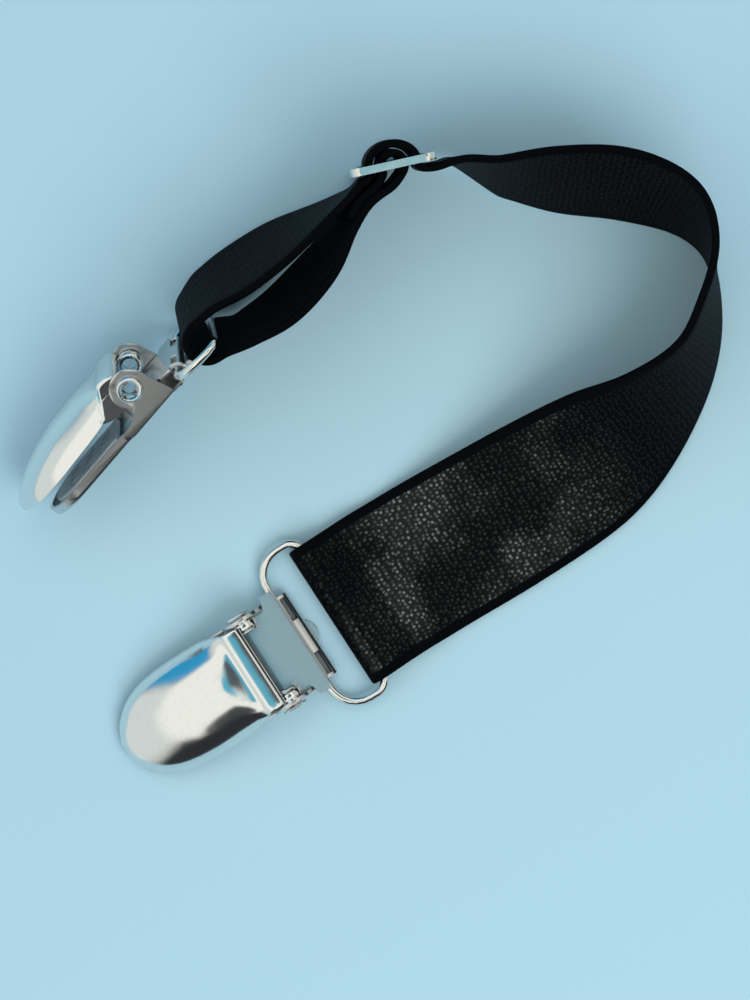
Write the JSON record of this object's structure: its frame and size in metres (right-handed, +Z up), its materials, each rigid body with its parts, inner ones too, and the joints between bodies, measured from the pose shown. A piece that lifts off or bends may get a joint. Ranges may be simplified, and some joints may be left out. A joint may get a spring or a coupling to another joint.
{
  "type": "sock suspender",
  "caption": "Black elastic strap with a metal clip on a wire ring at each end and a metal slider that sets its length, lying in a bend.",
  "frame": {"origin": "on the table, under the middle of the whole part's bounding box", "axes": "+Z up from the table; +X to the right and +Y to the top of the picture, which looks straight down"},
  "size_m": [0.1118, 0.101, 0.0294],
  "materials": {
    "elastic": "woven elastic, slightly glossy",
    "plated_metal": "polished plating",
    "plated_wire": "polished plating",
    "jaw_pad": "matt"
  },
  "bodies": {
    "band": {"strap": "elastic", "slider": "plated_metal"},
    "ring_body_a": {"ring_a": "plated_wire"},
    "clip_body_a": {"base_jaw_a": "plated_metal", "jaw_pad_a": "jaw_pad", "eyelet_a_1": "plated_metal", "eyelet_a_2": "plated_metal"},
    "shell_body_a": {"shell_jaw_a": "plated_metal"},
    "ring_body_b": {"ring_b": "plated_wire"},
    "clip_body_b": {"base_jaw_b": "plated_metal", "jaw_pad_b": "jaw_pad", "eyelet_b_1": "plated_metal", "eyelet_b_2": "plated_metal"},
    "shell_body_b": {"shell_jaw_b": "plated_metal"}
  },
  "joints": [
    {"name": "jaw_a", "type": "hinge", "parent": "clip_body_a", "child": "shell_body_a", "pos_m": [-0.01691, -0.03257, 0.0056], "axis": [0.5446, -0.8387, 0], "range_deg": [-30, 0]},
    {"name": "jaw_b", "type": "hinge", "parent": "clip_body_b", "child": "shell_body_b", "pos_m": [-0.03806, 0.01254, 0.01331], "axis": [0.0594, -0.3038, 0.9509], "range_deg": [-21, 8]},
    {"name": "ring_swing_a", "type": "hinge", "parent": "band", "child": "ring_body_a", "pos_m": [-0.00486, -0.02475, 0.00235], "axis": [0.5446, -0.8387, 0], "range_deg": [-20, 20]},
    {"name": "clip_swing_a", "type": "hinge", "parent": "ring_body_a", "child": "clip_body_a", "pos_m": [-0.01172, -0.0292, 0.0016], "axis": [0.5446, -0.8387, 0], "range_deg": [-30, 30]},
    {"name": "ring_swing_b", "type": "hinge", "parent": "band", "child": "ring_body_b", "pos_m": [-0.02537, 0.02055, 0.0146], "axis": [0.0954, -0.2622, 0.9603], "range_deg": [-20, 20]},
    {"name": "clip_swing_b", "type": "hinge", "parent": "ring_body_b", "child": "clip_body_b", "pos_m": [-0.031, 0.01469, 0.01356], "axis": [0.0954, -0.2622, 0.9603], "range_deg": [-30, 12]}
  ]
}
